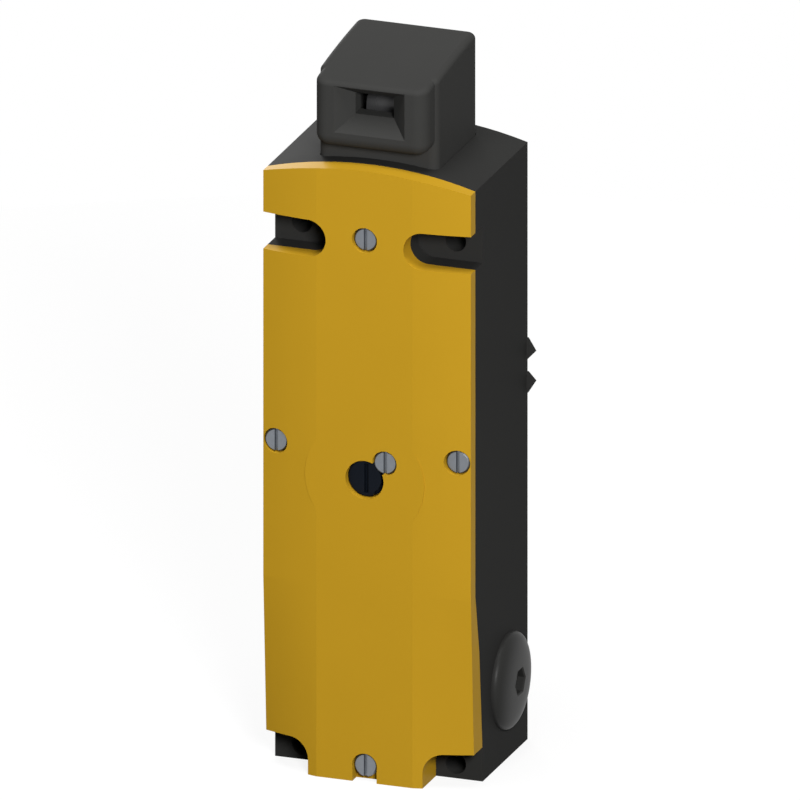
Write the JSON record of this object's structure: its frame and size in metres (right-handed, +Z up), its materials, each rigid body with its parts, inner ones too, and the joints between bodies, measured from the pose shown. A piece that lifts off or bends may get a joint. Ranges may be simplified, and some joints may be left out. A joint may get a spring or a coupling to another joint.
{
  "type": "tongue interlock switch",
  "caption": "Tall guard interlock switch with a tongue slot in its head, a lock with manual release, and a cover over contacts and solenoid.",
  "frame": {"origin": "centre of the box at the bottom face of the housing", "axes": "+Z up towards the head, +X to the right seen from the cover, -Y out of the cover"},
  "size_m": [0.0592, 0.0434, 0.1842],
  "materials": {
    "black_housing": "fine moulded texture",
    "black_head": "fine moulded texture",
    "black_plug": "satin",
    "black_release": "satin",
    "yellow_cover": "satin",
    "screw_steel": "zinc plated",
    "spring_steel": "bright",
    "yoke_steel": "zinc plated",
    "contact_brass": "bright",
    "guide_brass": "turned",
    "coil_copper": "enamelled winding under tape",
    "inner_plastic": "natural",
    "block_plastic": "satin",
    "cam_plastic": "satin",
    "seal_rubber": "matt"
  },
  "bodies": {
    "housing": {"housing": "black_housing", "cover": "yellow_cover", "cover_seal": "seal_rubber", "cover_screws": "screw_steel", "sealing_screw": "screw_steel", "head": "black_head", "head_seal": "seal_rubber", "head_screws": "screw_steel", "axle_retainer": "inner_plastic", "cam_axle": "screw_steel", "plunger_guide": "guide_brass", "plunger_seal": "seal_rubber", "plunger_spring": "spring_steel", "fixed_contacts": "contact_brass", "contact_screws": "screw_steel", "contact_block_right": "block_plastic", "contact_block_left": "block_plastic", "block_screws": "screw_steel", "solenoid_frame": "yoke_steel", "bobbin": "inner_plastic", "coil": "coil_copper", "solenoid_core": "yoke_steel", "solenoid_screws": "screw_steel", "armature_spring": "spring_steel", "monitor_block": "block_plastic", "monitor_contacts": "contact_brass", "monitor_screws": "screw_steel", "supply_block": "block_plastic", "supply_plates": "contact_brass", "supply_screws": "screw_steel", "side_block_screws": "screw_steel", "lock_frame": "yoke_steel", "frame_screws": "screw_steel", "entry_plug_right": "black_plug", "entry_plug_left": "black_plug", "entry_seals": "seal_rubber"},
    "cam_wheel": {"cam_wheel": "cam_plastic"},
    "plunger": {"plunger": "inner_plastic", "contact_carrier": "inner_plastic", "carrier_bridges": "contact_brass"},
    "armature": {"armature": "yoke_steel", "armature_pad": "inner_plastic", "monitor_bridge": "contact_brass"},
    "release_carriage": {"release_carriage": "inner_plastic", "lever_pin": "screw_steel"},
    "lock_lever": {"lock_lever": "yoke_steel"},
    "release_rotor": {"release_rotor": "black_release", "release_seal": "seal_rubber", "release_clip": "spring_steel"}
  },
  "joints": [
    {"name": "cam_turn", "type": "hinge", "parent": "housing", "child": "cam_wheel", "pos_m": [0, 0.00235, 0.169], "axis": [-1, 0, 0], "range_deg": [0, 75]},
    {"name": "plunger_slide", "type": "slide", "parent": "housing", "child": "plunger", "axis": [0, 0, 1], "range_m": [0, 0.005], "deforming": ["plunger_spring"]},
    {"name": "armature_slide", "type": "slide", "parent": "housing", "child": "armature", "axis": [0, 0, 1], "range_m": [0, 0.0025], "deforming": ["armature_spring"]},
    {"name": "release_turn", "type": "hinge", "parent": "housing", "child": "release_rotor", "pos_m": [0, -0.0185, 0.0787], "axis": [0, -1, 0], "range_deg": [0, 90]},
    {"name": "carriage_slide", "type": "slide", "parent": "housing", "child": "release_carriage", "axis": [-1, 0, 0], "range_m": [0, 0.0035]},
    {"name": "lever_swing", "type": "hinge", "parent": "release_carriage", "child": "lock_lever", "pos_m": [-0.004, 0.00235, 0.08], "axis": [0, 1, 0], "range_deg": [0, 12.46]}
  ],
  "couplings": [
    {"joint": "plunger_slide", "follows": "cam_turn", "m_per_rad": 0.0038197},
    {"joint": "release_turn", "follows": "carriage_slide", "rad_per_m": 448.8},
    {"joint": "lever_swing", "follows": "armature_slide", "rad_per_m": 86.956}
  ]
}
